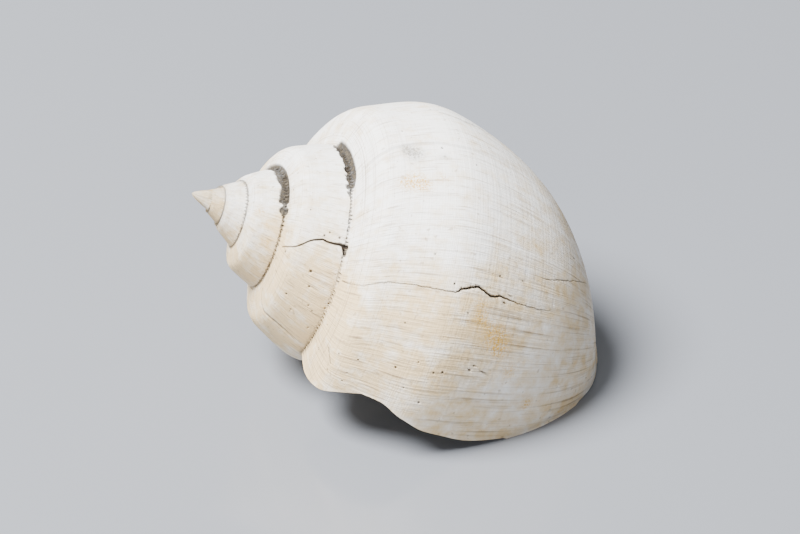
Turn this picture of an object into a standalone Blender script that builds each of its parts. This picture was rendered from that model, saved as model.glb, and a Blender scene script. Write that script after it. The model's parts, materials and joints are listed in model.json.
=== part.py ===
"""Fossil natica shell: one right-handed coiled shell with an open mouth, lying on its side.

The shell is one outline of the growing whorl, carried round the shell's axis while it grows and
moves down the axis. Heights are measured along the axis from the point where the spiral starts,
radii from the axis, both in units of the body radius. Age is counted in whorls, 0 at the lip and
negative towards the tip.
"""

import math

import bmesh
import bpy
import numpy as np
from mathutils import Matrix, Vector

# Driving dimensions, in metres and degrees
BODY_RADIUS = 0.0275
AXIS_TILT = 26.2
LIP_AZIMUTH = 138.4
START_POINT = Vector((-0.02735, 0.00325, 0.02645))
WALL = 0.0016
LIP_WALL = 0.0010
CALLUS = 0.0006

# Growth per whorl, as natural logarithms of the size ratio
RADIUS_GROWTH = 0.568
HEIGHT_GROWTH = 0.497
HEIGHT_SLOWING = 0.013
OLDEST_SLOWING = -4.0
TIP_AGE = -5

# The side that lies down is a little flatter there: age, span in whorls and share of the radius
FLATTER_AGE = -0.845
FLATTER_SPAN = 0.15
FLATTER_SHARE = 0.06

# The whorl's outline from suture to base, (height, radius) in body radii
OUTLINE = (
    (0.765, 0.550),
    (0.703, 0.606),
    (0.801, 0.805),
    (0.935, 0.902),
    (1.135, 0.995),
    (1.400, 1.009),
    (1.876, 0.852),
    (2.201, 0.568),
    (2.302, 0.335),
    (2.352, 0.057),
)

# The filled section's buried side, close to the axis: (height, place whose trail it follows)
AXIS_RADIUS = 0.02
BURIED_SIDE = ((2.352, 1.0), (1.60, 0.6), (0.82, 0.3))
BURIED_START = (0.82, 0.50)

# How far the lip trails behind the suture's end, in whorls, from suture to base
LIP_TRAIL = (0.0, -0.045, -0.092, -0.085, -0.124, -0.127)
TRAIL_REACH = 0.6

# The worn tip and the columella, round the axis: (height, radius) in body radii
PILLAR = (
    (0.028, 0.005),
    (0.036, 0.014),
    (0.060, 0.027),
    (0.137, 0.060),
    (0.190, 0.084),
    (0.230, 0.072),
    (0.900, 0.100),
    (1.300, 0.340),
    (1.420, 0.330),
    (1.520, 0.260),
    (1.680, 0.205),
    (1.880, 0.165),
    (2.040, 0.115),
    (2.120, 0.070),
    (2.150, 0.030),
)

# The hollow: its length behind the lip and the lengths of wall and rounded end, in whorls
HOLLOW_DEPTH = 0.58
HOLLOW_PAST_LIP = 0.035
HOLLOW_END = 0.05
HOLLOW_END_SHARES = (0.35, 0.65, 0.85, 0.96)
LIP_THINNING = 0.15

# Its section: the outer wall's ends along the outline, the columella's face as (height, radius,
# place whose trail it follows), and the side against the whorl before it, from base to suture, as
# places on that whorl and the places whose trail they follow
HOLLOW_TOP = 0.16
HOLLOW_BASE = 0.93
COLUMELLA_FACE = (
    (2.14, 0.190, 0.88),
    (1.95, 0.185, 0.80),
    (1.72, 0.215, 0.72),
    (1.52, 0.280, 0.64),
)
INNER_SIDE = (0.80, 0.53)
INNER_TRAIL = (0.55, 0.08)

# Mesh density
OUTLINE_POINTS = 25
YOUNG_ROWS_PER_WHORL = 36
OLD_ROWS_PER_WHORL = 20
OLD_FROM = -3
OUTER_POINTS = 14
INNER_POINTS = 7
HOLLOW_ROWS = 20
PILLAR_STEPS = 16


def natural_spline(values):
    """Return a function on 0..1 that passes smoothly through evenly spaced values."""
    knots = np.asarray(values, dtype=float)
    last = len(knots) - 1
    system = np.eye(last + 1)
    bend = np.zeros_like(knots)
    for i in range(1, last):
        system[i, i - 1 : i + 2] = (1.0, 4.0, 1.0)
        bend[i] = 6.0 * (knots[i - 1] - 2.0 * knots[i] + knots[i + 1])
    second = np.linalg.solve(system, bend)

    def at(place):
        where = min(max(place, 0.0), 1.0) * last
        i = min(int(where), last - 1)
        b = where - i
        a = 1.0 - b
        curve = (a**3 - a) * second[i] + (b**3 - b) * second[i + 1]
        return a * knots[i] + b * knots[i + 1] + curve / 6.0

    return at


outline_at = natural_spline(OUTLINE)
trail_at = natural_spline(LIP_TRAIL)


def radius_factor(age):
    """Size of the whorl's radius at an age, against the lip's."""
    away = min(abs(age - FLATTER_AGE) / FLATTER_SPAN, 1.0)
    flatter = FLATTER_SHARE * math.cos(0.5 * math.pi * away) ** 2
    return math.exp(RADIUS_GROWTH * age) * (1.0 - flatter)


def height_factor(age):
    """Size of the whorl's height at an age, against the lip's."""
    recent = max(age, OLDEST_SLOWING)
    slope = HEIGHT_GROWTH + 2.0 * HEIGHT_SLOWING * recent
    return math.exp(HEIGHT_GROWTH * recent + HEIGHT_SLOWING * recent**2 + slope * (age - recent))


def shell_point(height, radius, age, size_age=None):
    """Place a section point of the whorl at its age, in the resting shell's frame."""
    grown = age if size_age is None else size_age
    along = BODY_RADIUS * float(height) * height_factor(grown)
    out = BODY_RADIUS * float(radius) * radius_factor(grown)
    azimuth = math.radians(LIP_AZIMUTH) + 2.0 * math.pi * age
    tilt = math.radians(AXIS_TILT)
    axis = Vector((math.cos(tilt), 0.0, -math.sin(tilt)))
    up = Vector((math.sin(tilt), 0.0, math.cos(tilt)))
    side = axis.cross(up)
    return START_POINT + along * axis + out * (math.cos(azimuth) * up + math.sin(azimuth) * side)


def trailed(row_age, place):
    """Age of a point of a row: near the lip the rows follow the trailing lip."""
    nearness = min(max((row_age + TRAIL_REACH) / TRAIL_REACH, 0.0), 1.0)
    blend = nearness * nearness * (3.0 - 2.0 * nearness)
    return row_age + blend * float(trail_at(place))


def inset(place, depth):
    """Outline point moved inwards, square to the outline, by a depth in body radii."""
    step = 0.002
    before = outline_at(place - step)
    after = outline_at(place + step)
    along = (after - before) / np.linalg.norm(after - before)
    return outline_at(place) + depth * np.array((along[1], -along[0]))


def loft(name, rings):
    """Skin a row of equal rings of points into one closed body with a fan on each end."""
    mesh = bmesh.new()
    rows = [[mesh.verts.new(point) for point in ring] for ring in rings]
    count = len(rows[0])
    for here, there in zip(rows, rows[1:]):
        for i in range(count):
            j = (i + 1) % count
            mesh.faces.new((here[i], here[j], there[j], there[i]))
    for ring in (rows[0], rows[-1]):
        centre = mesh.verts.new(sum((v.co for v in ring), Vector()) / count)
        for i in range(count):
            mesh.faces.new((ring[i], ring[(i + 1) % count], centre))
    bmesh.ops.recalc_face_normals(mesh, faces=mesh.faces)
    data = bpy.data.meshes.new(name)
    mesh.to_mesh(data)
    mesh.free()
    return bpy.data.objects.new(name, data)


def body_rings():
    """Sections of the filled whorls, from the tip to the lip."""
    old_rows = (OLD_FROM - TIP_AGE) * OLD_ROWS_PER_WHORL
    old = np.linspace(TIP_AGE, OLD_FROM, old_rows + 1)
    young = np.linspace(OLD_FROM, 0.0, -OLD_FROM * YOUNG_ROWS_PER_WHORL + 1)
    places = np.linspace(0.0, 1.0, OUTLINE_POINTS)
    rings = []
    for row in np.concatenate((old[:-1], young)):
        ring = [shell_point(*outline_at(place), trailed(row, place)) for place in places]
        for height, place in BURIED_SIDE:
            ring.append(shell_point(height, AXIS_RADIUS, trailed(row, place)))
        ring.append(shell_point(*BURIED_START, row))
        rings.append(ring)
    return rings


def pillar_rings():
    """Round sections of the columella and the rounded tip, along the axis."""
    rings = []
    for height, radius in PILLAR:
        turns = [step / PILLAR_STEPS for step in range(PILLAR_STEPS)]
        rings.append([shell_point(height, radius, turn, 0.0) for turn in turns])
    return rings


def hollow_ring(row):
    """Section of the last whorl's hollow: outer wall, columella and the whorl before it."""
    thickness = LIP_WALL + (WALL - LIP_WALL) * min(max(-row / LIP_THINNING, 0.0), 1.0)
    ring = []
    for place in np.linspace(HOLLOW_TOP, HOLLOW_BASE, OUTER_POINTS):
        ring.append(shell_point(*inset(place, thickness / BODY_RADIUS), trailed(row, place)))
    for height, radius, place in COLUMELLA_FACE:
        ring.append(shell_point(height, radius, trailed(row, place)))
    inner = np.linspace(*INNER_SIDE, INNER_POINTS)
    for before, place in zip(inner, np.linspace(*INNER_TRAIL, INNER_POINTS)):
        age = trailed(row, place) - 1.0
        lift = CALLUS / BODY_RADIUS / radius_factor(age)
        ring.append(shell_point(*inset(before, -lift), age))
    return ring


def hollow_rings():
    """Sections of the hollow from its rounded inner end to just past the lip."""
    rings = []
    for share in HOLLOW_END_SHARES:
        ring = hollow_ring(-HOLLOW_DEPTH - HOLLOW_END * (1.0 - share) ** 1.5)
        centre = sum(ring, Vector()) / len(ring)
        rings.append([centre + share * (point - centre) for point in ring])
    for row in np.linspace(-HOLLOW_DEPTH, HOLLOW_PAST_LIP, HOLLOW_ROWS):
        rings.append(hollow_ring(row))
    return rings


def ground_block():
    """A block whose top is the surface that the shell rests on."""
    mesh = bmesh.new()
    size = 8.0 * BODY_RADIUS
    placed = Matrix.Translation((0.0, 0.0, -size / 2.0)) @ Matrix.Scale(size, 4)
    bmesh.ops.create_cube(mesh, size=1.0, matrix=placed)
    data = bpy.data.meshes.new("ground")
    mesh.to_mesh(data)
    mesh.free()
    return bpy.data.objects.new("ground", data)


def combine(body, tool, operation):
    """Join or cut the body with a helper by an exact Boolean."""
    step = body.modifiers.new(f"{operation.lower()} {tool.name}", "BOOLEAN")
    step.solver = "EXACT"
    step.operation = operation
    step.use_self = operation == "UNION"
    step.object = tool
    tool.hide_render = True
    tool.display_type = "WIRE"


def chalky_ivory():
    """Pale, dull, chalky shell."""
    material = bpy.data.materials.new("chalky_ivory")
    material.use_nodes = True
    shader = material.node_tree.nodes["Principled BSDF"]
    shader.inputs["Base Color"].default_value = (0.80, 0.74, 0.65, 1.0)
    shader.inputs["Roughness"].default_value = 0.62
    shader.inputs["Metallic"].default_value = 0.0
    return material


def main():
    for old in list(bpy.data.objects):
        bpy.data.objects.remove(old, do_unlink=True)
    parts = bpy.data.collections.new("fossil natica shell")
    cutters = bpy.data.collections.new("cutters")
    for collection in (parts, cutters):
        bpy.context.scene.collection.children.link(collection)

    shell = loft("shell", body_rings())
    pillar = loft("pillar", pillar_rings())
    hollow = loft("hollow", hollow_rings())
    ground = ground_block()
    parts.objects.link(shell)
    for tool in (pillar, hollow, ground):
        cutters.objects.link(tool)

    combine(shell, pillar, "UNION")
    combine(shell, hollow, "DIFFERENCE")
    combine(shell, ground, "DIFFERENCE")
    shell.data.materials.append(chalky_ivory())
    shell.data.shade_smooth()
    shell.data.set_sharp_from_angle(angle=math.radians(40.0))


main()
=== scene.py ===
"""Fossil natica shell: its fine surface and finish, with the floor, the light and the camera.

The dressed shell grows by the same formulas as its solid. Age is counted in whorls, 0 at the lip
and negative towards the tip. A row is the age along the suture, and a place runs over the whorl's
outline from 0 at the suture to 1 at the base. Lengths are in metres.
"""

import json
import logging
import math
from collections.abc import Iterable, Iterator, Sequence
from dataclasses import dataclass, field
from enum import Enum

import bmesh
import bpy
import numpy as np
from mathutils import Matrix, Vector, noise
from mathutils.geometry import tessellate_polygon
from mathutils.kdtree import KDTree

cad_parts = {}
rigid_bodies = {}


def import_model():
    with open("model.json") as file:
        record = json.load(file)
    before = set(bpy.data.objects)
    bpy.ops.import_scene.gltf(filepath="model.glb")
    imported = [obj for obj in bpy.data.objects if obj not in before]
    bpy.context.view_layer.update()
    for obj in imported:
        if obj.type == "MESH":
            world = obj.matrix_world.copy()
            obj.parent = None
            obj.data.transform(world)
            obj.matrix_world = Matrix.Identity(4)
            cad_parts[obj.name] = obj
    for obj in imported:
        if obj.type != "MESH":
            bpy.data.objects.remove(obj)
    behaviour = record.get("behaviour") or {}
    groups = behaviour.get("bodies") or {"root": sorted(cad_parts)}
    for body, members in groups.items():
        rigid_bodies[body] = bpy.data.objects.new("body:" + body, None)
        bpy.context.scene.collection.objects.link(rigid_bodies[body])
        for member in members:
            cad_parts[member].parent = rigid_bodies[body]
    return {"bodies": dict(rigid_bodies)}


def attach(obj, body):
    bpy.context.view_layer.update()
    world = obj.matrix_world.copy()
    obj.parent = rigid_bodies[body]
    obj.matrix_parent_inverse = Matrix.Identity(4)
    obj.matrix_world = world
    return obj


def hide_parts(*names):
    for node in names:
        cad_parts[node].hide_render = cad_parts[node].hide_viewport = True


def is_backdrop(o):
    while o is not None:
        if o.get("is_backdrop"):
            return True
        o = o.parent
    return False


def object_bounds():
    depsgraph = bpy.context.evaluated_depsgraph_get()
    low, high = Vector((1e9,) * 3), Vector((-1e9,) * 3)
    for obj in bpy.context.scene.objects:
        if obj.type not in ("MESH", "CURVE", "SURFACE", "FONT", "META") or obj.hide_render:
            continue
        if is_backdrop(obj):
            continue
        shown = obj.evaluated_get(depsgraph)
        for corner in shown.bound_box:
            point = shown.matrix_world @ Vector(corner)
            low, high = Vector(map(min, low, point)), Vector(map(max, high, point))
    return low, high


MM = 0.001
Array = np.ndarray
Skin = bmesh.types.BMesh
Pair = tuple[float, float]
Mark = tuple[float, float, float, float]
Colour = tuple[float, float, float, float]
log = logging.getLogger("natica")


class Layer(Enum):
    """Which surface of the shell a point lies on."""

    OUTSIDE = 0
    HOLLOW = 1
    COLUMELLA = 2


class Join(Enum):
    """How a helper solid changes the shell."""

    ADD = "UNION"
    CUT = "DIFFERENCE"


def smooth_step(low: float, high: float, values: Array) -> Array:
    """Rise smoothly from 0 at low to 1 at high."""
    share = np.clip((values - low) / (high - low), 0.0, 1.0)
    return share * share * (3.0 - 2.0 * share)


def rough(points: Array, offset: float = 0.0) -> Array:
    """Fixed gradient noise at each point.

    Args:
        points: rows of three coordinates, in the noise's own cells.
        offset: shift that gives another pattern.

    Returns:
        One value per point, about -1 to 1.
    """
    shifted = points + offset
    return np.array([noise.noise(Vector(point)) for point in shifted.tolist()])


def polyline(knots: Array, where: Array) -> Array:
    """Read the straight runs of a table at places counted in its rows."""
    rows = np.arange(len(knots))
    return np.stack([np.interp(where, rows, column) for column in knots.T], axis=1)


def tree_of(points: Array) -> KDTree:
    """Sort points into a tree that finds the nearest one."""
    tree = KDTree(len(points))
    for index, point in enumerate(points.tolist()):
        tree.insert(point, index)
    tree.balance()
    return tree


def add(name: str, data: bpy.types.ID) -> bpy.types.Object:
    """Put a mesh, a lamp or a camera into the scene as an object."""
    made = bpy.data.objects.new(name, data)
    bpy.context.scene.collection.objects.link(made)
    return made


class NaturalSpline:
    """A smooth curve through evenly spaced values, on 0 to 1."""

    def __init__(self, values: Sequence) -> None:
        """Solve the curve's bends from its values."""
        self.knots = np.asarray(values, dtype=float)
        self.last = len(self.knots) - 1
        system = np.eye(self.last + 1)
        bend = np.zeros_like(self.knots)
        for i in range(1, self.last):
            system[i, i - 1 : i + 2] = (1.0, 4.0, 1.0)
            bend[i] = 6.0 * (self.knots[i - 1] - 2.0 * self.knots[i] + self.knots[i + 1])
        self.second = np.linalg.solve(system, bend)

    def __call__(self, places: Array) -> Array:
        """Read the curve.

        Args:
            places: where to read it, any shape.

        Returns:
            The values, with the knots' own shape added at the end.
        """
        where = np.clip(np.asarray(places, dtype=float), 0.0, 1.0) * self.last
        i = np.minimum(where.astype(int), self.last - 1)
        b = where - i
        if self.knots.ndim > 1:
            b = b[..., None]
        a = 1.0 - b
        curve = (a**3 - a) * self.second[i] + (b**3 - b) * self.second[i + 1]
        return a * self.knots[i] + b * self.knots[i + 1] + curve / 6.0


@dataclass
class WhorlForm:
    """The growing whorl: its outline, its growth and its place in the resting shell's frame."""

    body_radius: float = 0.0275
    axis_tilt: float = 26.2
    lip_azimuth: float = 138.4
    start: tuple[float, float, float] = (-0.02735, 0.00325, 0.02645)
    radius_growth: float = 0.568
    height_growth: float = 0.497
    height_slowing: float = 0.013
    oldest_slowing: float = -4.0
    flatter_age: float = -0.845
    flatter_span: float = 0.15
    flatter_share: float = 0.06
    trail_reach: float = 0.6
    outline: tuple[Pair, ...] = (
        (0.765, 0.55), (0.703, 0.606), (0.801, 0.805), (0.935, 0.902), (1.135, 0.995), (1.4, 1.009),
        (1.876, 0.852), (2.201, 0.568), (2.302, 0.335), (2.352, 0.057),
    )
    lip_trail: tuple[float, ...] = (0.0, -0.045, -0.092, -0.085, -0.124, -0.127)
    line_trail: tuple[float, ...] = (0.0, -0.045, -0.069, -0.089, -0.098, -0.100)
    crest_place: float = 0.11
    rim_shift: Pair = (0.042, -0.020)
    rim_lean: float = 0.012
    rim_reach: float = 0.24
    crest_height: float = 0.745
    lip_wobble: float = 0.0007
    lip_waves: Pair = (37.0, 91.0)
    wobble_fade: int = 24
    lip_corner: float = 0.008
    corner_fade: int = 16
    corner_place: float = 0.15
    corner_width: float = 0.055
    old_rows: Pair = (-2.6, -2.1)
    old_flatness: float = 0.78
    covered_at: Pair = (1.16, 0.998)
    suture_gaps: tuple[Pair, ...] = (
        (-5.0, 0.0), (-3.5, 0.0), (-3.0, 0.1), (-2.5, 0.3), (-2.0, 0.3), (-1.6, 0.5), (-1.52, 0.9),
        (-1.4, 0.9), (-1.34, 1.0), (-1.275, 1.0), (-1.265, 0.5), (-1.255, 0.95), (-1.245, 0.9),
        (-1.23, 0.5), (-1.15, 0.4), (-1.05, 0.5), (-0.9, 0.35), (-0.445, 0.35), (-0.425, 1.0),
        (-0.325, 1.0), (-0.3, 0.8), (-0.285, 0.55), (-0.2, 0.5), (-0.17, 0.38), (-0.05, 0.3),
        (0.0, 0.4),
    )

    def __post_init__(self) -> None:
        """Prepare the curves and the three directions of the tilted axis."""
        self.outline_at = NaturalSpline(self.outline)
        self.trail_at = NaturalSpline(self.lip_trail)
        self.line_at = NaturalSpline(self.line_trail)
        tilt = math.radians(self.axis_tilt)
        self.axis = np.array((math.cos(tilt), 0.0, -math.sin(tilt)))
        self.up = np.array((math.sin(tilt), 0.0, math.cos(tilt)))
        self.side = np.cross(self.axis, self.up)

    def radius_factor(self, age: Array) -> Array:
        """Size of the whorl's radius at an age, against the lip's."""
        away = np.minimum(np.abs(age - self.flatter_age) / self.flatter_span, 1.0)
        flatter = self.flatter_share * np.cos(0.5 * math.pi * away) ** 2
        return np.exp(self.radius_growth * age) * (1.0 - flatter)

    def height_factor(self, age: Array) -> Array:
        """Size of the whorl's height at an age, against the lip's."""
        recent = np.maximum(age, self.oldest_slowing)
        slope = self.height_growth + 2.0 * self.height_slowing * recent
        grown = self.height_growth * recent + self.height_slowing * recent**2
        return np.exp(grown + slope * (age - recent))

    def put(self, section: Array, age: Array, size_age: float | None = None) -> Array:
        """Place section points at their ages.

        Args:
            section: heights and radii in body radii, on the last axis.
            age: the points' ages in whorls.
            size_age: one age for the size, where it isn't the point's own.

        Returns:
            The points in the shell's frame.
        """
        age = np.asarray(age, dtype=float)
        grown = age if size_age is None else np.full_like(age, size_age)
        along = self.body_radius * section[..., 0] * self.height_factor(grown)
        out = self.body_radius * section[..., 1] * self.radius_factor(grown)
        azimuth = math.radians(self.lip_azimuth) + 2.0 * math.pi * age
        spoke = np.cos(azimuth)[..., None] * self.up + np.sin(azimuth)[..., None] * self.side
        return np.asarray(self.start) + along[..., None] * self.axis + out[..., None] * spoke

    def line(self, row: Array, place: Array) -> Array:
        """Growth line of a point: near the lip it follows the lip as it was before it broke."""
        return self.trailed(row, place) - smooth_step(-self.trail_reach, 0.0, row) * self.line_at(place)

    def trailed(self, row: Array, place: Array) -> Array:
        """Age of a point of a row, which follows the worn lip where it is close."""
        nearness = np.clip((row + self.trail_reach) / self.trail_reach, 0.0, 1.0)
        blend = nearness * nearness * (3.0 - 2.0 * nearness)
        coarse, fine = self.lip_waves
        waves = np.sin(place * coarse) + 0.6 * np.sin(place * fine + 1.0)
        worn = self.lip_wobble * waves * nearness**self.wobble_fade
        away = (place - self.corner_place) / self.corner_width
        corner = self.lip_corner * np.exp(-(away**2)) * nearness**self.corner_fade
        return row + blend * self.trail_at(place) - worn + corner

    def inset(self, place: Array, depth: Array) -> Array:
        """Outline points moved inwards, square to the outline, by a depth in body radii."""
        step = 0.002
        along = self.outline_at(place + step) - self.outline_at(place - step)
        along = along / np.linalg.norm(along, axis=-1, keepdims=True)
        inward = np.stack((along[..., 1], -along[..., 0]), axis=-1)
        return self.outline_at(place) + np.asarray(depth)[..., None] * inward

    def suture_gap(self, age: Array) -> Array:
        """How far the suture's channel stands open at an age, 0 to 1."""
        ages, gaps = zip(*self.suture_gaps)
        return np.interp(age, ages, gaps)

    def skin(self, row: Array, place: Array) -> Array:
        """Points of the outer surface, whose rim leans on the whorl before it.

        Args:
            row: the points' rows.
            place: the points' places on the outline.

        Returns:
            The points in the shell's frame.
        """
        section = self.outline_at(place)
        lean = 1.0 - smooth_step(self.crest_place, self.rim_reach, place)
        settled = lean * smooth_step(0.0, self.crest_place, place)
        section += settled[..., None] * np.array(self.rim_shift)
        section[..., 1] -= self.rim_lean * settled * (1.0 - self.suture_gap(row))
        crest = self.outline_at(self.crest_place) + np.array(self.rim_shift)
        share = np.clip((section[..., 0] - crest[0]) / (self.covered_at[0] - crest[0]), 0.0, 1.0)
        straight = crest[1] + share * (self.covered_at[1] - crest[1])
        bulge = np.maximum(section[..., 1] - straight, 0.0) * (share > 0.0) * (share < 1.0)
        section[..., 1] -= self.old_flatness * (1.0 - smooth_step(*self.old_rows, row)) * bulge
        return self.put(section, self.trailed(row, place))

    def away(self, points: Array, row: float, place: float) -> Array:
        """Distance of points from one spot of the outer surface."""
        return np.linalg.norm(points - self.skin(np.array(row), np.array(place)), axis=1)

    def channel_height(self, points: Array, next_age: Array) -> Array:
        """Height of points along the axis, in the units of the whorl that grows over them."""
        along = (points - np.asarray(self.start)) @ self.axis
        return along / (self.body_radius * self.height_factor(next_age))


@dataclass
class Loft:
    """One closed solid skinned over rings of points, with what each point belongs to."""

    name: str
    rings: Array
    rows: Array
    places: Array
    layer: Layer

    def cap(self, end: int) -> Array:
        """Fill an end ring, seen in its own plane.

        Args:
            end: 0 for the first ring, -1 for the last.

        Returns:
            Triangles of ring positions, turning the way the ring does.
        """
        ring = self.rings[end] - self.rings[end].mean(axis=0)
        flat = ring @ np.linalg.svd(ring, full_matrices=False)[2].T
        faces = np.array(tessellate_polygon([[Vector((x, y, 0.0)) for x, y, _ in flat.tolist()]]))
        turn = np.roll(flat[:, :2], -1, axis=0)
        ring_area = np.sum(flat[:, 0] * turn[:, 1] - flat[:, 1] * turn[:, 0])
        a, b, c = (flat[faces[:, k], :2] for k in range(3))
        areas = (b - a)[:, 0] * (c - a)[:, 1] - (b - a)[:, 1] * (c - a)[:, 0]
        return faces if areas.sum() * ring_area > 0.0 else faces[:, ::-1]

    def build(self) -> bpy.types.Object:
        """Skin the rings, close both ends and turn the faces outwards."""
        count, around = self.rings.shape[:2]
        points = self.rings.reshape(-1, 3)
        index = np.arange(count * around).reshape(count, around)
        here = index[:-1]
        there = index[1:]
        corners = (here, np.roll(here, -1, 1), np.roll(there, -1, 1), there)
        quads = np.stack(corners, axis=-1).reshape(-1, 4)
        halves = (quads[:, (0, 1, 2)], quads[:, (0, 2, 3)])
        caps = (index[0][self.cap(0)[:, ::-1]], index[-1][self.cap(-1)])
        faces = np.concatenate((*halves, *caps))
        a, b, c = (points[faces[:, k]] for k in range(3))
        if np.einsum("ij,ij->i", a, np.cross(b, c)).sum() < 0.0:
            faces = faces[:, ::-1]
        mesh = bpy.data.meshes.new(self.name)
        mesh.from_pydata(points.tolist(), [], faces.tolist())
        return add(self.name, mesh)


class Atlas:
    """The lofts' points, found by position, with the row, the place and the layer of each."""

    names = ("row", "place", "layer")
    mixed_step = 0.2

    def __init__(self, lofts: Sequence[Loft]) -> None:
        """Gather the points of all the lofts."""
        points = np.concatenate([loft.rings.reshape(-1, 3) for loft in lofts])
        rows = np.concatenate([loft.rows.reshape(-1) for loft in lofts])
        places = np.concatenate([loft.places.reshape(-1) for loft in lofts])
        layers = np.concatenate([np.full(loft.rows.size, float(loft.layer.value)) for loft in lofts])
        self.labels = np.stack((rows, places, layers), axis=1).tolist()
        self.tree = tree_of(points)

    def label(self, skin: Skin, verts: Iterable[bmesh.types.BMVert]) -> None:
        """Give each vertex the labels of the nearest loft point."""
        kept = [skin.verts.layers.float[name] for name in self.names]
        for vert in verts:
            for layer, value in zip(kept, self.labels[self.tree.find(vert.co)[1]]):
                vert[layer] = value

    def settle(self, skin: Skin) -> None:
        """Label again the vertices that a halved edge has put between two whorls."""
        row = skin.verts.layers.float["row"]
        crossing = [e for e in skin.edges if abs(e.verts[0][row] - e.verts[1][row]) > self.mixed_step]
        self.label(skin, {vert for edge in crossing for vert in edge.verts})


@dataclass(frozen=True)
class Groove:
    """A crack, a step or a scratch along a path on the outer surface.

    The path's stops are (row, place, half width in mm, depth in mm, darkness).
    """

    stops: tuple[tuple[float, float, float, float, float], ...]
    jitter: float = 0.0010
    steps: int = 400

    def path(self, form: WhorlForm) -> tuple[Array, Array]:
        """Trace the path on the surface.

        Args:
            form: the whorl that carries it.

        Returns:
            The path's points, and the width, depth and darkness at each.
        """
        stops = np.array(self.stops)
        bends = len(stops) - 1
        where = np.linspace(0.0, bends, self.steps)
        values = polyline(stops, where)
        if bends > 1:
            smooth = NaturalSpline(stops[:, :2])(where / bends)
            values[:, :2] = 0.5 * (values[:, :2] + smooth)
        steps = np.diff(form.skin(values[:, 0], values[:, 1]), axis=0)
        length = np.cumsum(np.linalg.norm(steps, axis=1))
        run = np.concatenate(((0.0,), length)) / MM
        zeros = np.zeros_like(run)
        for share, pitch, offset in ((1.0, 1.3, 40.0), (0.5, 3.7, 90.0)):
            track = np.stack((run * pitch, zeros, zeros), 1)
            values[:, 0] += share * self.jitter * rough(track, stops[0, 1] * offset)
        return form.skin(values[:, 0], values[:, 1]), values[:, 2:]


@dataclass(frozen=True)
class Spots:
    """Round marks on the outer surface: (row, place, radius in mm, strength) each."""

    marks: tuple[Mark, ...]

    def strength(self, form: WhorlForm, points: Array) -> Array:
        """Add up the marks at each point.

        Args:
            form: the whorl that carries them.
            points: where to read them.

        Returns:
            The strength at each point.
        """
        total = np.zeros(len(points))
        for row, place, radius, strength in self.marks:
            away = form.away(points, row, place) / (radius * MM)
            total += strength * np.exp(-(away**2))
        return total


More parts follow.
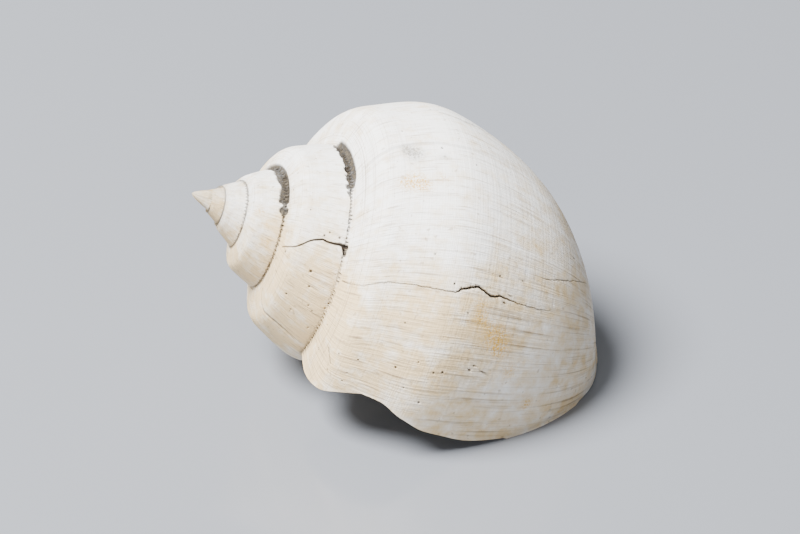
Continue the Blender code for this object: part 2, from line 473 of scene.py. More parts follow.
@dataclass
class Wear:
    """What age has done to the surface: cracks, pits, broken suture edges and stains."""

    grooves: tuple[Groove, ...] = (
        Groove((
            (-1.165, 0.15, 0.09, 0.12, 0.6), (-1.1707, 0.168, 0.08, 0.15, 0.7),
            (-1.1796, 0.213, 0.08, 0.18, 0.8), (-1.1897, 0.266, 0.1, 0.22, 0.9),
            (-1.2012, 0.311, 0.1, 0.25, 0.9), (-1.2075, 0.345, 0.11, 0.28, 1.0),
            (-1.2113, 0.376, 0.11, 0.3, 1.0), (-1.2112, 0.41, 0.13, 0.35, 1.0),
            (-1.2126, 0.44, 0.16, 0.4, 1.0), (-1.213, 0.47, 0.22, 0.5, 1.0),
            (-1.2115, 0.49, 0.26, 0.5, 1.0),
        )),
        Groove((
            (-1.212, 0.468, 0.24, 0.45, 1.0), (-1.206, 0.474, 0.17, 0.45, 1.0),
            (-1.199, 0.48, 0.08, 0.3, 0.8),
        ), jitter=0.0004),
        Groove((
            (-0.144, 0.135, 0.09, 0.12, 0.7), (-0.1422, 0.164, 0.07, 0.1, 0.7),
            (-0.1321, 0.27, 0.07, 0.11, 0.7), (-0.1219, 0.345, 0.07, 0.12, 0.7),
            (-0.1194, 0.41, 0.08, 0.13, 0.8), (-0.1282, 0.489, 0.08, 0.22, 0.8),
            (-0.1346, 0.504, 0.12, 0.4, 1.0), (-0.1447, 0.538, 0.14, 0.45, 1.0),
            (-0.1435, 0.55, 0.11, 0.45, 1.0), (-0.1422, 0.565, 0.14, 0.45, 1.0),
            (-0.1447, 0.576, 0.11, 0.35, 1.0), (-0.143, 0.598, 0.09, 0.18, 0.8),
            (-0.1409, 0.633, 0.08, 0.14, 0.7), (-0.1409, 0.652, 0.06, 0.08, 0.5),
        )),
        Groove((
            (-0.1752, 0.637, 0.06, 0.1, 0.6), (-0.179, 0.671, 0.07, 0.12, 0.7),
            (-0.1905, 0.747, 0.06, 0.08, 0.5),
        )),
        # A step along a growth line of the whorl before the last: its darkness is painted shadow of the
        # step.
        Groove((
            (-1.0374, 0.145, 0.16, 0.22, 0.6), (-1.03, 0.171, 0.16, 0.26, 0.7),
            (-1.028, 0.198, 0.18, 0.3, 0.8), (-1.0297, 0.232, 0.2, 0.32, 0.9),
            (-1.0336, 0.27, 0.2, 0.32, 0.9), (-1.0361, 0.315, 0.18, 0.28, 0.8),
            (-1.0361, 0.395, 0.15, 0.22, 0.6), (-1.0361, 0.44, 0.12, 0.18, 0.4),
        ), jitter=0.0003),
        Groove((
            (-0.3098, 0.168, 0.25, 0.05, 0.2), (-0.3047, 0.319, 0.25, 0.06, 0.25),
            (-0.3009, 0.482, 0.25, 0.05, 0.2), (-0.3238, 0.625, 0.2, 0.04, 0.1),
        )),
        Groove((
            (-0.3784, 0.47, 0.25, 0.12, 0.4), (-0.3733, 0.531, 0.4, 0.22, 0.5),
            (-0.386, 0.59, 0.2, 0.1, 0.3),
        ), jitter=0.001),
        Groove((
            (-0.033, 0.688, 0.05, 0.06, 0.25), (-0.015, 0.694, 0.05, 0.08, 0.3),
            (-0.001, 0.697, 0.06, 0.1, 0.4),
        )),
        Groove((
            (-0.0559, 0.19, 0.11, 0.12, 0.8), (-0.0394, 0.221, 0.09, 0.1, 0.7),
        ), jitter=0.0002),
    )
    pits: tuple[Mark, ...] = (
        (-1.158, 0.364, 0.26, 0.3), (-1.1351, 0.38, 0.18, 0.18), (-1.1072, 0.406, 0.17, 0.16),
        (-1.0818, 0.349, 0.16, 0.16), (-1.117, 0.472, 0.18, 0.18), (-1.073, 0.445, 0.16, 0.15),
        (-1.126, 0.478, 0.15, 0.15), (-0.0749, 0.565, 0.2, 0.22), (-0.0698, 0.561, 0.22, 0.22),
        (-0.0229, 0.493, 0.22, 0.22), (-0.0381, 0.406, 0.22, 0.2), (-0.0584, 0.516, 0.22, 0.2),
        (-0.1397, 0.584, 0.18, 0.2), (-0.1638, 0.572, 0.2, 0.2), (-1.2189, 0.38, 0.18, 0.18),
        (-1.2227, 0.444, 0.2, 0.18), (-1.226, 0.4, 0.16, 0.16), (-0.3339, 0.327, 0.18, 0.16),
        (-0.2933, 0.429, 0.22, 0.2), (-0.2806, 0.52, 0.16, 0.16),
    )
    strewn_pits: int = 90
    ochre: Spots = Spots(
        (
            (-0.2463, 0.311, 0.9, 0.7), (-0.244, 0.345, 1.3, 1.0), (-0.2362, 0.375, 1.0, 0.9),
            (-0.2451, 0.425, 0.8, 0.5), (-0.1308, 0.55, 1.0, 0.7), (-0.1168, 0.556, 1.2, 0.9),
            (-0.1054, 0.584, 1.7, 1.3), (-0.0952, 0.592, 1.3, 0.9), (-0.0749, 0.614, 1.2, 0.6),
            (-0.0381, 0.652, 0.8, 0.9), (-0.0089, 0.716, 0.7, 0.8), (-2.1509, 0.387, 0.5, 0.7),
            (-2.2, 0.34, 0.5, 0.6), (-2.2347, 0.289, 0.6, 0.8),
        )
    )
    grey: Spots = Spots(
        (
            (-0.2857, 0.353, 1.2, 1.0), (-0.292, 0.335, 0.8, 0.7), (-0.2781, 0.432, 0.5, 0.8),
            (-0.2997, 0.323, 0.6, 0.6),
        )
    )
    keep_inside: float = 0.11 * MM
    broken_depth: float = 0.30 * MM
    grain: float = 0.10 * MM
    uneven_depth: float = 0.08 * MM
    broken_edge: float = 0.14 * MM
    rim_sink: float = 0.22 * MM
    groove_limit: float = 1.2 * MM
    pit_seed: int = 11

    def all_pits(self) -> Iterator[Mark]:
        """Give the named pits, then small ones strewn over the last two whorls."""
        yield from self.pits
        spread = np.random.default_rng(self.pit_seed)
        for _ in range(self.strewn_pits):
            row = -1.9 * spread.random() ** 1.4 - 0.01
            place = 0.13 + 0.8 * spread.random()
            yield row, place, 0.12 + 0.10 * spread.random(), 0.08 + 0.10 * spread.random()


@dataclass
class SurfacePoints:
    """The shell's points as arrays, with the row, the place and the layer of each."""

    co: Array
    normal: Array
    row: Array
    place: Array
    layer: Array

    @property
    def outside(self) -> Array:
        """True for the points of the outer surface."""
        return self.layer < 0.5


@dataclass
class Relief:
    """How deep each point lies under the grown surface, how dark it is painted there and how much grit it
    holds.
    """

    depth: Array
    dark: Array
    grit: Array


@dataclass
class NaticaShell:
    """The whole fossil shell, one piece: it stands for the solid of the same name."""

    form: WhorlForm = field(default_factory=WhorlForm)
    wear: Wear = field(default_factory=Wear)
    tip_age: float = -5.6
    spacing: float = 0.50 * MM
    outline_points: int = 84
    finer: tuple[Pair, ...] = (
        (1.0 * MM, 0.25 * MM),
        (0.45 * MM, 0.17 * MM),
        (0.15 * MM, 0.10 * MM),
    )
    suture_reach: float = 0.3 * MM
    tube_span: float = 0.7
    tenon_rows: int = 3
    tenon_share: float = 0.94
    axis_radius: float = 0.02
    buried_side: tuple[Pair, ...] = ((2.352, 1.0), (1.60, 0.6), (0.82, 0.3))
    buried_start: Pair = (0.82, 0.50)
    pillar: tuple[Pair, ...] = (
        (0.028, 0.005), (0.036, 0.014), (0.06, 0.027), (0.137, 0.06), (0.19, 0.084), (0.23, 0.072),
        (0.9, 0.1), (1.3, 0.34), (1.42, 0.33), (1.52, 0.26), (1.68, 0.205), (1.88, 0.165),
        (2.04, 0.115), (2.12, 0.07), (2.15, 0.03),
    )
    pillar_steps: int = 96
    wall: float = 1.6 * MM
    lip_wall: float = 1.0 * MM
    callus: float = 0.6 * MM
    lip_thinning: float = 0.15
    hollow_depth: float = 0.58
    hollow_past_lip: float = 0.035
    hollow_end: float = 0.05
    hollow_rows: int = 120
    hollow_top: float = 0.16
    hollow_base: float = 0.93
    columella_face: tuple[tuple[float, float, float], ...] = (
        (2.14, 0.19, 0.88), (1.95, 0.185, 0.8), (1.72, 0.215, 0.72), (1.52, 0.28, 0.64),
    )
    inner_side: Pair = (0.80, 0.53)
    inner_trail: Pair = (0.55, 0.08)
    wall_points: int = 50
    face_points: int = 13
    inner_points: int = 28
    sharp_angle: float = 38.0
    smallest_edge: float = 0.002 * MM
    ground_margin: float = 0.02 * MM
    rim_place: float = 0.17
    finest_row: float = -2.6
    worn_tip_reach: float = 8.0 * MM
    oldest_rows: Pair = (-3.6, -3.75)
    # Heights over which the tan grows towards the bottom: partly the shell's own tone, partly painted
    # shade.
    tan_and_shade_heights: Pair = (33.0 * MM, 16.0 * MM)
    ground_heights: Pair = (14.0 * MM, 4.0 * MM)

    def rows(self) -> Array:
        """Rows from the tip to the lip, evenly spaced along the growing whorl."""
        growth = self.form.radius_growth
        per_whorl = 2.0 * math.pi * self.form.body_radius / self.spacing
        total = per_whorl / growth * (1.0 - math.exp(growth * self.tip_age))
        steps = np.arange(int(total) + 1) * (total / int(total))
        return np.log(1.0 - growth * steps / per_whorl)[::-1] / growth

    def whorl_tubes(self) -> list[Loft]:
        """Filled lengths of the whorls, each short enough not to meet itself."""
        form = self.form
        rows = self.rows()
        rows[-1] = 0.0
        places = np.linspace(0.0, 1.0, self.outline_points)
        grid_row, grid_place = np.meshgrid(rows, places, indexing="ij")
        rings = [form.skin(grid_row, grid_place)]
        held_rows = [grid_row]
        held_places = [grid_place]
        buried = [((height, self.axis_radius), place) for height, place in self.buried_side]
        for section, place in (*buried, (self.buried_start, 0.0)):
            spots = np.broadcast_to(np.array(section), (len(rows), 2))
            held = np.full(len(rows), place)
            rings.append(form.put(spots, form.trailed(rows, held))[:, None])
            held_rows.append(rows[:, None])
            held_places.append(held[:, None])
        grids = (rings, held_rows, held_places)
        points, point_rows, point_places = (np.concatenate(parts, axis=1) for parts in grids)
        count = math.ceil(-self.tip_age / self.tube_span)
        cuts = np.searchsorted(rows, np.linspace(self.tip_age, 0.0, count + 1)[1:-1])
        ends = [0, *cuts.tolist(), len(rows) - 1]
        tubes = []
        for k, (a, b) in enumerate(zip(ends, ends[1:])):
            rings = points[a : b + 1]
            if b < len(rows) - 1:
                beyond = points[b + self.tenon_rows]
                centre = beyond.mean(axis=0)
                rings = np.concatenate((rings, [centre + self.tenon_share * (beyond - centre)]))
            held = slice(a, a + len(rings))
            tubes.append(Loft(f"whorls_{k}", rings, point_rows[held], point_places[held], Layer.OUTSIDE))
        return tubes

    def pillar_loft(self) -> Loft:
        """The worn tip and the columella, round the axis."""
        knots = np.array(self.pillar)
        finer = np.concatenate([np.linspace(k, k + 1, 4, endpoint=False) for k in range(len(knots) - 1)])
        where = np.append(finer, len(knots) - 1.0)
        section = polyline(knots, where)
        turns = np.arange(self.pillar_steps) / self.pillar_steps
        sections = np.broadcast_to(section[:, None], (len(section), len(turns), 2))
        ages = np.broadcast_to(turns, sections.shape[:2])
        rings = self.form.put(sections, ages, 0.0)
        return Loft("pillar", rings, -ages, np.full_like(ages, 0.9), Layer.COLUMELLA)

    def hollow_ring(self, row: float) -> Array:
        """Section of the hollow: outer wall, columella's face and the whorl before it."""
        form = self.form
        thin = min(max(-row / self.lip_thinning, 0.0), 1.0)
        thickness = self.lip_wall + (self.wall - self.lip_wall) * thin
        outer = np.linspace(self.hollow_top, self.hollow_base, self.wall_points)
        depth = np.full(self.wall_points, thickness / form.body_radius)
        wall = form.put(form.inset(outer, depth), form.trailed(row, outer))
        face = np.array(self.columella_face)
        face = polyline(face, np.linspace(0.0, len(face) - 1.0, self.face_points))
        columella = form.put(face[:, :2], form.trailed(row, face[:, 2]))
        before = np.linspace(*self.inner_side, self.inner_points)
        age = form.trailed(row, np.linspace(*self.inner_trail, self.inner_points)) - 1.0
        lift = self.callus / form.body_radius / form.radius_factor(age)
        inner = form.put(form.inset(before, -lift), age)
        return np.concatenate((wall, columella, inner))

    def hollow_loft(self) -> Loft:
        """The last whorl's hollow, from its rounded inner end to just past the lip."""
        rings = []
        for share in np.sin(np.linspace(0.2, 1.5, 14)):
            ring = self.hollow_ring(-self.hollow_depth - self.hollow_end * (1.0 - share) ** 1.5)
            centre = ring.mean(axis=0)
            rings.append(centre + share * (ring - centre))
        rows = np.linspace(-self.hollow_depth, self.hollow_past_lip, self.hollow_rows)
        rings.extend(self.hollow_ring(row) for row in rows)
        rings = np.array(rings)
        count, around = rings.shape[:2]
        held = np.concatenate((np.full(count - len(rows), rows[0]), rows))
        places = np.broadcast_to(np.linspace(0.0, 1.0, around), (count, around))
        return Loft("hollow", rings, np.repeat(held[:, None], around, axis=1), places, Layer.HOLLOW)

    def ground(self) -> bpy.types.Object:
        """A block whose top is the surface that the shell rests on."""
        size = 8.0 * self.form.body_radius
        mesh = bpy.data.meshes.new("ground")
        cube = bmesh.new()
        placed = Matrix.Translation((0.0, 0.0, -size / 2.0)) @ Matrix.Scale(size, 4)
        bmesh.ops.create_cube(cube, size=1.0, matrix=placed)
        bmesh.ops.triangulate(cube, faces=cube.faces)
        cube.to_mesh(mesh)
        cube.free()
        return add("ground", mesh)

    def grow(self) -> tuple[bpy.types.Object, list[Loft]]:
        """Join the tubes and the pillar, then cut the hollow and the ground away.

        Returns:
            The shell's object, and the lofts that its surface comes from.
        """
        tubes = self.whorl_tubes()
        lofts = [*tubes, self.pillar_loft(), self.hollow_loft()]
        solids = [loft.build() for loft in lofts] + [self.ground()]
        shell = solids[0]
        joins = [Join.ADD] * len(tubes) + [Join.CUT] * 2
        for solid, join in zip(solids[1:], joins):
            step = shell.modifiers.new(solid.name, "BOOLEAN")
            step.solver = "MANIFOLD"
            step.operation = join.value
            step.object = solid
        graph = bpy.context.evaluated_depsgraph_get()
        mesh = bpy.data.meshes.new_from_object(shell.evaluated_get(graph), depsgraph=graph)
        for solid in solids:
            bpy.data.objects.remove(solid, do_unlink=True)
        mesh.name = "natica_shell"
        return add("natica_shell", mesh), lofts

    @staticmethod
    def keep_largest(skin: Skin) -> None:
        """Delete the crumbs that the joins leave in the buried seams."""
        waiting = set(skin.verts)
        groups = []
        while waiting:
            group = {waiting.pop()}
            front = list(group)
            while front:
                around = [edge.other_vert(vert) for vert in front for edge in vert.link_edges]
                front = [vert for vert in set(around) if vert not in group]
                group.update(front)
            waiting -= group
            groups.append(group)
        largest = max(groups, key=len)
        crumbs = [vert for group in groups if group is not largest for vert in group]
        bmesh.ops.delete(skin, geom=crumbs, context="VERTS")

    @staticmethod
    def read(skin: Skin) -> SurfacePoints:
        """Copy the skin's points and labels into arrays."""
        skin.verts.index_update()
        kept = [skin.verts.layers.float[name] for name in Atlas.names]
        co = np.array([vert.co[:] for vert in skin.verts])
        normal = np.array([vert.normal[:] for vert in skin.verts])
        labels = [np.array([vert[layer] for vert in skin.verts]) for layer in kept]
        return SurfacePoints(co, normal, *labels)

    def channel(self, points: SurfacePoints) -> tuple[Array, Array, Array]:
        """Where points lie against the suture of the whorl that grows over them.

        Args:
            points: the surface.

        Returns:
            How far each point lies past the rim's crest, in metres, how open the channel is
            there, and the age of the whorl that covers it.
        """
        form = self.form
        next_age = form.trailed(points.row, points.place) + 1.0
        height = form.channel_height(points.co, next_age)
        past = (height - form.crest_height) * form.body_radius * form.height_factor(next_age)
        covered = points.outside & (next_age < -0.012) & (next_age > -3.4) & (points.place > 0.3)
        past = np.where(covered, past, -1.0)
        return past, form.suture_gap(next_age), next_age

    def near_marks(self, points: SurfacePoints, reach: float) -> Array:
        """Find the points that need a finer mesh.

        Args:
            points: the surface.
            reach: distance from a mark, in metres.

        Returns:
            True where a groove, a pit or an open suture is within reach.
        """
        near = np.zeros(len(points.co), dtype=bool)
        outside = np.flatnonzero(points.outside)
        for groove in self.wear.grooves:
            path, values = groove.path(self.form)
            away, _ = self.distance(points.co[outside], path, reach + MM)
            near[outside[away < reach + 0.5 * values[:, 0].max() * MM]] = True
        for row, place, radius, _ in self.wear.all_pits():
            away = self.form.away(points.co, row, place)
            near |= (away < reach + radius * MM) & points.outside
        if reach < self.suture_reach:
            return near
        past, gap, next_age = self.channel(points)
        wide = (past > -(0.4 * MM + reach * gap)) & (past < 1.6 * MM) & (next_age > self.finest_row)
        rim = (points.place < self.rim_place) & (points.row > self.finest_row) & (points.place > 0.05)
        busy = (reach > MM / 2.0) | (self.form.suture_gap(points.row) > 0.45)
        return near | wide | (rim & busy & points.outside)

    @staticmethod
    def distance(points: Array, path: Array, limit: float) -> tuple[Array, Array]:
        """Distance of points from a finely stepped path.

        Args:
            points: where to measure.
            path: the path's points.
            limit: points outside the path's box by more than this are left out.

        Returns:
            The distances, 1 where left out, and the nearest step of the path.
        """
        away = np.ones(len(points))
        nearest = np.zeros(len(points), dtype=int)
        low = path.min(axis=0) - limit
        high = path.max(axis=0) + limit
        inside = np.flatnonzero(np.all((points > low) & (points < high), axis=1))
        tree = tree_of(path)
        for index in inside.tolist():
            _, nearest[index], away[index] = tree.find(points[index])
        return away, nearest

    def refine(self, skin: Skin, atlas: Atlas) -> None:
        """Halve the edges round the marks, more often close to them."""
        for reach, shortest in self.finer:
            near = self.near_marks(self.read(skin), reach)
            edges = [e for e in skin.edges if near[e.verts[0].index] and near[e.verts[1].index]]
            edges = [e for e in edges if e.calc_length() > shortest]
            bmesh.ops.subdivide_edges(skin, edges=edges, cuts=1, use_grid_fill=True)
            bmesh.ops.triangulate(skin, faces=[face for face in skin.faces if len(face.verts) > 3])
            skin.normal_update()
            atlas.settle(skin)

    def relief(self, points: SurfacePoints) -> Relief:
        """Work out how deep the surface is at each point, how dark it is painted and how much grit it
        holds.

        Args:
            points: the surface.

        Returns:
            Depth in metres, darkness of cracks and pits (painted shadow along the growth-line step), and
            grit of the sutures.
        """
        wear = self.wear
        outside = points.outside
        growth = self.form.line(points.row, points.place)
        waves = np.stack((growth * 55.0, points.place * 3.0, np.zeros(len(points.row))), axis=1)
        broad = rough(waves) + 0.6 * rough(waves * np.array((2.6, 1.0, 1.0)), 17.0)
        lumps = rough(points.co / (6.0 * MM), 5.0)
        uneven = np.clip(0.5 + 0.35 * broad + 0.3 * lumps, 0.0, 1.4)
        settled = smooth_step(0.13, 0.2, points.place) * outside
        depth = wear.uneven_depth * uneven * settled
        dark = np.zeros(len(depth))
        for groove in wear.grooves:
            path, values = groove.path(self.form)
            chosen = np.flatnonzero(outside)
            away, nearest = self.distance(points.co[chosen], path, wear.groove_limit)
            half, deep, darkness = (values[nearest, k] for k in range(3))
            share = np.clip(1.0 - away / (half * MM * 1.5), 0.0, 1.0)
            floor = np.minimum(share * 1.6, 1.0)
            depth[chosen] = np.maximum(depth[chosen], deep * MM * floor)
            dark[chosen] = np.maximum(dark[chosen], darkness * smooth_step(0.05, 0.55, share))
        for row, place, radius, deep in wear.all_pits():
            share = 1.0 - self.form.away(points.co, row, place) / (radius * MM)
            share = np.clip(share, 0.0, 1.0)
            share *= outside
            depth += deep * MM * np.minimum(share * 1.5, 1.0)
            dark = np.maximum(dark, 0.9 * smooth_step(0.05, 0.6, share))
        past, gap, next_age = self.channel(points)
        around = next_age * 130.0 * self.form.radius_factor(next_age)
        track = np.stack((around, past / MM * 0.5, np.zeros(len(past))), axis=1)
        rim = outside & (points.place < self.rim_place)
        near = np.flatnonzero((past > -3.0 * MM) | rim)
        ragged = np.zeros(len(depth))
        ragged[near] = 0.75 + 0.45 * rough(track[near], 3.0) + 0.4 * rough(track[near] * 2.7, 9.0)
        edge = -(0.10 + 0.95 * gap**2 * np.clip(ragged, 0.0, 1.4)) * MM
        broken = smooth_step(0.0, wear.broken_edge, past - edge)
        grains = np.zeros(len(depth))
        close = points.co[near]
        grains[near] = rough(close / (0.42 * MM), 2.0) + 0.6 * rough(close / (0.2 * MM), 7.0)
        lost = np.zeros(len(depth))
        lost[near] = smooth_step(0.2, 0.42, rough(track[near] * 0.55, 23.0))
        deep = 0.25 + 0.75 * gap + 0.5 * lost
        depth += broken * (wear.broken_depth * deep - wear.grain * grains)
        rim_gap = self.form.suture_gap(points.row)
        rim_open = smooth_step(0.55, 0.95, rim_gap)
        reach = 0.100 + 0.026 * rim_open
        under = smooth_step(0.008, -0.008, points.place - reach) * rim
        depth += under * rim_open * (wear.rim_sink - wear.grain * grains)
        grit = np.clip(broken * (0.45 + 0.55 * gap), 0.0, 1.0)
        grit = np.maximum(grit, under * (0.5 + 0.5 * rim_gap))
        dark = np.maximum(dark, broken * lost * (0.35 + 0.4 * gap))
        return Relief(depth, dark, grit)

    def weather(self, skin: Skin, cad_box: list) -> dict[str, Array]:
        """Press the wear into the surface.

        Args:
            skin: the refined surface.
            cad_box: low and high corner of the solid, which the points are kept in.

        Returns:
            What the finish reads at each point, by name.
        """
        points = self.read(skin)
        relief = self.relief(points)
        standing = points.co[:, 2] > self.ground_margin
        hollow = points.layer == Layer.HOLLOW.value
        depth = (relief.depth + self.wear.keep_inside * ~hollow) * standing
        moved = np.clip(points.co - points.normal * depth[:, None], *np.array(cad_box))
        moved[:, 2] = np.maximum(moved[:, 2], 0.0)
        for vert, place in zip(skin.verts, moved):
            vert.co = place
        along = (points.co - np.asarray(self.form.start)) @ self.form.axis
        columella = points.layer == Layer.COLUMELLA.value
        worn_tip = columella & (along < self.worn_tip_reach)
        old = np.maximum(smooth_step(*self.oldest_rows, points.row) * points.outside, worn_tip)
        # Tan grows towards the bottom by height: partly the shell's own tone, partly painted shade of the
        # light from above. Patches and the spire side vary it, and it is weaker close to the ground.
        low = smooth_step(*self.tan_and_shade_heights, points.co[:, 2])
        patches = 0.5 + 0.5 * rough(points.co / (9.0 * MM), 31.0)
        spire_side = smooth_step(0.75, 0.35, points.place)
        near_ground = smooth_step(*self.ground_heights, points.co[:, 2])
        warm = low * (0.35 + 0.45 * spire_side + 0.6 * patches) * (1.0 - 0.35 * near_ground)
        return {
            "growth": self.form.line(points.row, points.place),
            "place": points.place,
            "dark": relief.dark,
            "grit": relief.grit,
            "warm": np.clip(warm + 0.45 * old, 0.0, 1.1),
            "ochre": self.wear.ochre.strength(self.form, points.co) * points.outside,
            "grey": self.wear.grey.strength(self.form, points.co) * points.outside,
            # The hollow and the columella inside it, which the finish paints darker as shade.
            "inside": (hollow | (columella & ~worn_tip)).astype(float),
        }

    def build(self, finish: "ChalkyFossil", cad_box: list) -> bpy.types.Object:
        """Make the shell.

        Args:
            finish: the material that it is given.
            cad_box: low and high corner of the solid that it stands for.

        Returns:
            The finished piece.
        """
        grown, lofts = self.grow()
        skin = bmesh.new()
        skin.from_mesh(grown.data)
        bmesh.ops.triangulate(skin, faces=skin.faces)
        bmesh.ops.dissolve_degenerate(skin, dist=self.smallest_edge, edges=skin.edges)
        bmesh.ops.triangulate(skin, faces=skin.faces)
        self.keep_largest(skin)
        skin.normal_update()
        atlas = Atlas(lofts)
        for name in Atlas.names:
            skin.verts.layers.float.new(name)
        atlas.label(skin, skin.verts)
        self.refine(skin, atlas)
        values = self.weather(skin, cad_box)
        for name in Atlas.names:
            skin.verts.layers.float.remove(skin.verts.layers.float[name])
        skin.to_mesh(grown.data)
        skin.free()
        for name, numbers in values.items():
            attribute = grown.data.attributes.new(name, "FLOAT", "POINT")
            attribute.data.foreach_set("value", numbers.astype(np.float32))
        grown.data.materials.clear()
        grown.data.materials.append(finish.build())
        grown.data.shade_smooth()
        grown.data.set_sharp_from_angle(angle=math.radians(self.sharp_angle))
        return grown


class Socket:
    """One output of a shader node, with arithmetic that adds Math nodes."""

    def __init__(self, sheet: "Sheet", output: bpy.types.NodeSocket) -> None:
        """Hold the output and the sheet that it is on."""
        self.sheet = sheet
        self.output = output

    def math(self, operation: str, *values: "Socket | float") -> "Socket":
        """Add one Math node on these values."""
        return self.sheet.node("ShaderNodeMath", {"operation": operation}, dict(enumerate(values)))

    def __add__(self, other: "Socket | float") -> "Socket":
        """Add."""
        return self.math("ADD", self, other)

    __radd__ = __add__

    def __mul__(self, other: "Socket | float") -> "Socket":
        """Multiply."""
        return self.math("MULTIPLY", self, other)

    __rmul__ = __mul__

    def __sub__(self, other: "Socket | float") -> "Socket":
        """Subtract."""
        return self.math("SUBTRACT", self, other)

    def __rsub__(self, other: float) -> "Socket":
        """Subtract this from a number."""
        return self.math("SUBTRACT", other, self)

    def between(self, low: float, high: float) -> "Socket":
        """Rise smoothly from 0 at low to 1 at high."""
        settings = {"interpolation_type": "SMOOTHSTEP"}
        return self.sheet.node("ShaderNodeMapRange", settings, {0: self, 1: low, 2: high})

    def limited(self) -> "Socket":
        """Keep within 0 to 1."""
        return self.sheet.node("ShaderNodeClamp", {}, {0: self})


class Sheet:
    """The node sheet of one material."""

    def __init__(self, name: str) -> None:
        """Start a material with its principled shader."""
        self.material = bpy.data.materials.new(name)
        self.material.use_nodes = True
        self.tree = self.material.node_tree
        self.shader = self.tree.nodes["Principled BSDF"]

    def plug(self, node: bpy.types.Node, key: str | int, value: object) -> None:
        """Set or link one input of a node."""
        if isinstance(value, Socket):
            self.tree.links.new(value.output, node.inputs[key])
        else:
            node.inputs[key].default_value = value

    def node(self, kind: str, settings: dict, inputs: dict, output: str | int = 0) -> Socket:
        """Add any node.

        Args:
            kind: the node's type.
            settings: its own settings, set first.
            inputs: values or sockets by input name or number.
            output: the output to hand back.

        Returns:
            That output.
        """
        made = self.tree.nodes.new(kind)
        for name, value in settings.items():
            setattr(made, name, value)
        for key, value in inputs.items():
            self.plug(made, key, value)
        return Socket(self, made.outputs[output])

    def read(self, name: str) -> Socket:
        """Read a value that the mesh holds at its points."""
        return self.node("ShaderNodeAttribute", {"attribute_name": name}, {}, "Fac")

    def vector(self, x: Socket | float, y: Socket | float, z: Socket | float) -> Socket:
        """Combine three values."""
        return self.node("ShaderNodeCombineXYZ", {}, {0: x, 1: y, 2: z})

    def speckle(self, where: Socket, scale: float, detail: float = 2.0, roughness: float = 0.5) -> Socket:
        """Noise of a scale at a place."""
        inputs = {"Vector": where, "Scale": scale, "Detail": detail, "Roughness": roughness}
        return self.node("ShaderNodeTexNoise", {}, inputs)

    def mix(self, share: Socket | float, first: object, second: object) -> Socket:
        """Mix two colours."""
        inputs = {"Factor": share, 6: first, 7: second}
        return self.node("ShaderNodeMix", {"data_type": "RGBA"}, inputs, 2)


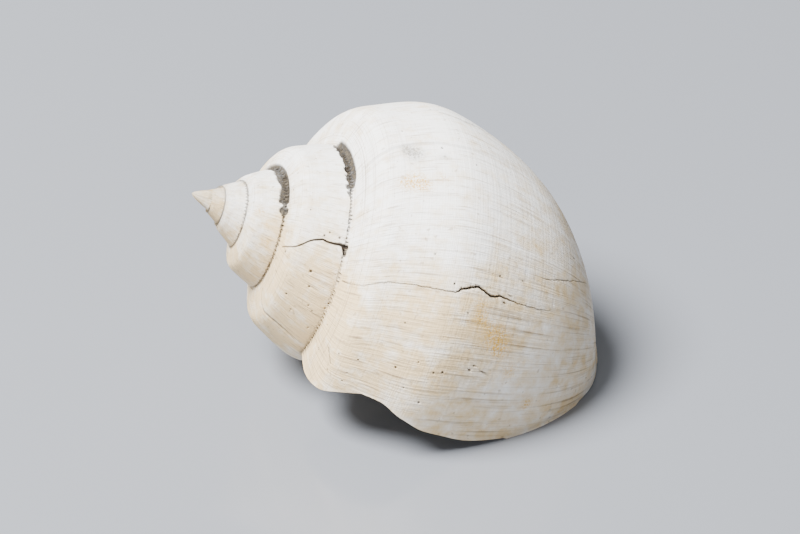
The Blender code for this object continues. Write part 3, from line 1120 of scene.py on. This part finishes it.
@dataclass(frozen=True)
class ChalkyFossil:
    """Chalky weathered shell: warm white above, tan below (partly painted shade), with fine growth lines
    and stains.
    """

    white: Colour = (0.87, 0.855, 0.82, 1.0)
    cream: Colour = (0.68, 0.515, 0.29, 1.0)
    streak: Colour = (0.27, 0.19, 0.11, 1.0)
    ochre: Colour = (0.60, 0.32, 0.012, 1.0)
    smudge: Colour = (0.13, 0.11, 0.08, 1.0)
    grit: Colour = (0.016, 0.012, 0.008, 1.0)
    sand: Colour = (0.080, 0.064, 0.043, 1.0)
    # Dark of cracks and pits, and the painted shadow along the growth-line step.
    crack_and_shadow: Colour = (0.030, 0.020, 0.011, 1.0)
    # Painted shade inside the hollow.
    hollow_shade: Colour = (0.45, 0.36, 0.25, 1.0)
    roughness: float = 0.62
    specular: float = 0.35
    bump: float = 1.0
    bump_distance: float = 0.0002

    def build(self) -> bpy.types.Material:
        """Make the material."""
        sheet = Sheet("chalky_ivory")
        growth = sheet.read("growth")
        place = sheet.read("place")
        grit = sheet.read("grit")
        spot = sheet.node("ShaderNodeTexCoord", {}, {}, "Object")
        bands = sheet.speckle(sheet.vector(growth * 70.0, place * 3.0, 11.0), 1.0, 3.0, 0.55)
        fine_lines = sheet.speckle(sheet.vector(growth * 260.0, place * 6.0, 0.0), 1.0, 4.0, 0.6)
        hair_lines = sheet.speckle(sheet.vector(growth * 650.0, place * 9.0, 3.0), 1.0, 2.0)
        spiral = sheet.speckle(sheet.vector(growth * 5.0, place * 230.0, 7.0), 1.0, 2.0)
        clouds = sheet.speckle(spot, 130.0, 4.0, 0.6)
        mottle = sheet.speckle(spot, 620.0, 3.0, 0.6)
        grains = sheet.speckle(spot, 2600.0, 2.0)
        freckles = sheet.speckle(spot, 1500.0, 1.0)
        dust = sheet.speckle(spot, 3900.0, 4.0, 0.8).between(0.46, 0.58)
        uneven = 1.6 * (clouds - 0.5) + 1.7 * (mottle - 0.5) + 1.0 * (bands - 0.5)
        # The tan share holds the painted shade by height from the mesh, and the shell's own clouds,
        # mottle and bands.
        warm = (0.06 + 0.85 * sheet.read("warm") + uneven).limited()
        lines = fine_lines.between(0.55, 0.72) * (0.40 + 0.40 * warm)
        lines = lines + hair_lines.between(0.56, 0.72) * 0.52
        near_suture = 1.0 - place.between(0.15, 0.40)
        ochre = (sheet.read("ochre") * (0.18 + dust)).limited()
        grey = (sheet.read("grey") * (0.45 + 0.8 * dust)).limited()
        sediment = sheet.mix(grains.between(0.42, 0.62), self.grit, self.sand)
        layers = (
            (lines.limited(), self.streak),
            (spiral.between(0.54, 0.70) * (0.07 + 0.50 * near_suture), self.streak),
            (freckles.between(0.69, 0.76) * 0.45, self.streak),
            (ochre * 0.95, self.ochre),
            (grey * 0.8, self.smudge),
            # Painted shade inside the hollow and on the columella.
            (sheet.read("inside") * 0.6, self.hollow_shade),
            ((grit + 0.5 * grit * (grains - 0.5)).limited(), sediment),
            # Darkens cracks, pits and broken suture spots, and paints the shadow along the growth-line
            # step.
            (sheet.read("dark").limited(), self.crack_and_shadow),
        )
        colour = sheet.mix(warm, self.white, self.cream)
        for share, tint in layers:
            colour = sheet.mix(share, colour, tint)
        sheet.plug(sheet.shader, "Base Color", colour)
        roughness = (self.roughness + 0.25 * grit + 0.1 * (clouds - 0.5)).limited()
        sheet.plug(sheet.shader, "Roughness", roughness)
        relief = 0.8 * fine_lines + 0.35 * hair_lines + 0.25 * spiral
        relief = relief + 0.6 * grains * grit + 0.15 * grains
        bumps = {"Strength": self.bump, "Distance": self.bump_distance, "Height": relief}
        sheet.plug(sheet.shader, "Normal", sheet.node("ShaderNodeBump", {}, bumps))
        sheet.shader.inputs["Specular IOR Level"].default_value = self.specular
        return sheet.material


@dataclass(frozen=True)
class PaleFloorFinish:
    """Plain pale floor with a soft sheen."""

    colour: Colour = (0.19, 0.20, 0.22, 1.0)
    roughness: float = 0.15

    def build(self) -> bpy.types.Material:
        """Make the material."""
        sheet = Sheet("pale_floor")
        sheet.shader.inputs["Base Color"].default_value = self.colour
        sheet.shader.inputs["Roughness"].default_value = self.roughness
        return sheet.material


@dataclass
class SoftBox:
    """One soft lamp that looks at the shell."""

    name: str
    at: tuple[float, float, float]
    size: float
    power: float

    def build(self) -> None:
        """Hang the lamp."""
        light = bpy.data.lights.new(self.name, "AREA")
        light.shape = "DISK"
        light.size = self.size
        light.energy = self.power
        lamp = add(self.name, light)
        lamp.location = self.at
        lamp.rotation_euler = (-Vector(self.at)).to_track_quat("-Z", "Y").to_euler()


@dataclass
class Studio:
    """The floor, the soft light and the camera."""

    floor_size: float = 6.0
    camera_at: tuple[float, float, float] = (-0.04338, -0.35957, 0.25071)
    looks_along: tuple[float, float, float] = (0.10051, 0.83182, -0.54588)
    lens: float = 148.5
    sensor: float = 36.0
    nearest: float = 0.01
    surround: float = 0.38
    surround_colour: Colour = (0.95, 0.97, 1.0, 1.0)
    lamps: tuple[SoftBox, ...] = (
        SoftBox("overhead_softbox", (-0.45, -0.10, 0.85), 0.5, 54.0),
        SoftBox("front_fill", (-0.3, -0.9, 0.45), 0.5, 3.0),
    )

    def floor(self) -> None:
        half = self.floor_size / 2.0
        mesh = bpy.data.meshes.new("floor")
        corners = [(-half, -half, 0.0), (half, -half, 0.0), (half, half, 0.0), (-half, half, 0.0)]
        mesh.from_pydata(corners, [], [(0, 1, 2, 3)])
        mesh.materials.append(PaleFloorFinish().build())
        add("floor", mesh)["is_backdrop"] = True

    def light(self) -> None:
        """Hang the lamps and set the even light around them."""
        for lamp in self.lamps:
            lamp.build()
        world = bpy.data.worlds.new("soft_surround")
        world.use_nodes = True
        even = world.node_tree.nodes["Background"].inputs
        even["Color"].default_value = self.surround_colour
        even["Strength"].default_value = self.surround
        bpy.context.scene.world = world

    def camera(self) -> None:
        """Set the camera at the photograph's viewing angle."""
        data = bpy.data.cameras.new("camera")
        data.lens = self.lens
        data.sensor_width = self.sensor
        data.sensor_fit = "HORIZONTAL"
        data.clip_start = self.nearest
        camera = add("camera", data)
        camera.location = self.camera_at
        camera.rotation_euler = Vector(self.looks_along).to_track_quat("-Z", "Y").to_euler()
        bpy.context.scene.camera = camera

    def build(self) -> None:
        """Set up the whole studio."""
        self.floor()
        self.light()
        self.camera()


def plain(box: object) -> list:
    """Turn a box's corners into plain lists of numbers."""
    return [[float(number) for number in corner] for corner in box]


def main() -> None:
    """Build the pieces in order and report each."""
    logging.basicConfig(level=logging.INFO, format="%(message)s")
    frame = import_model()
    cad_box = plain(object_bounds())
    Studio().build()
    log.info("studio: floor, lamps and camera")
    shell = NaticaShell().build(ChalkyFossil(), cad_box)
    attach(shell, next(iter(frame["bodies"])))
    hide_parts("shell")
    log.info("%s: %d triangles", shell.name, len(shell.data.polygons))


if __name__ == "__main__":
    main()
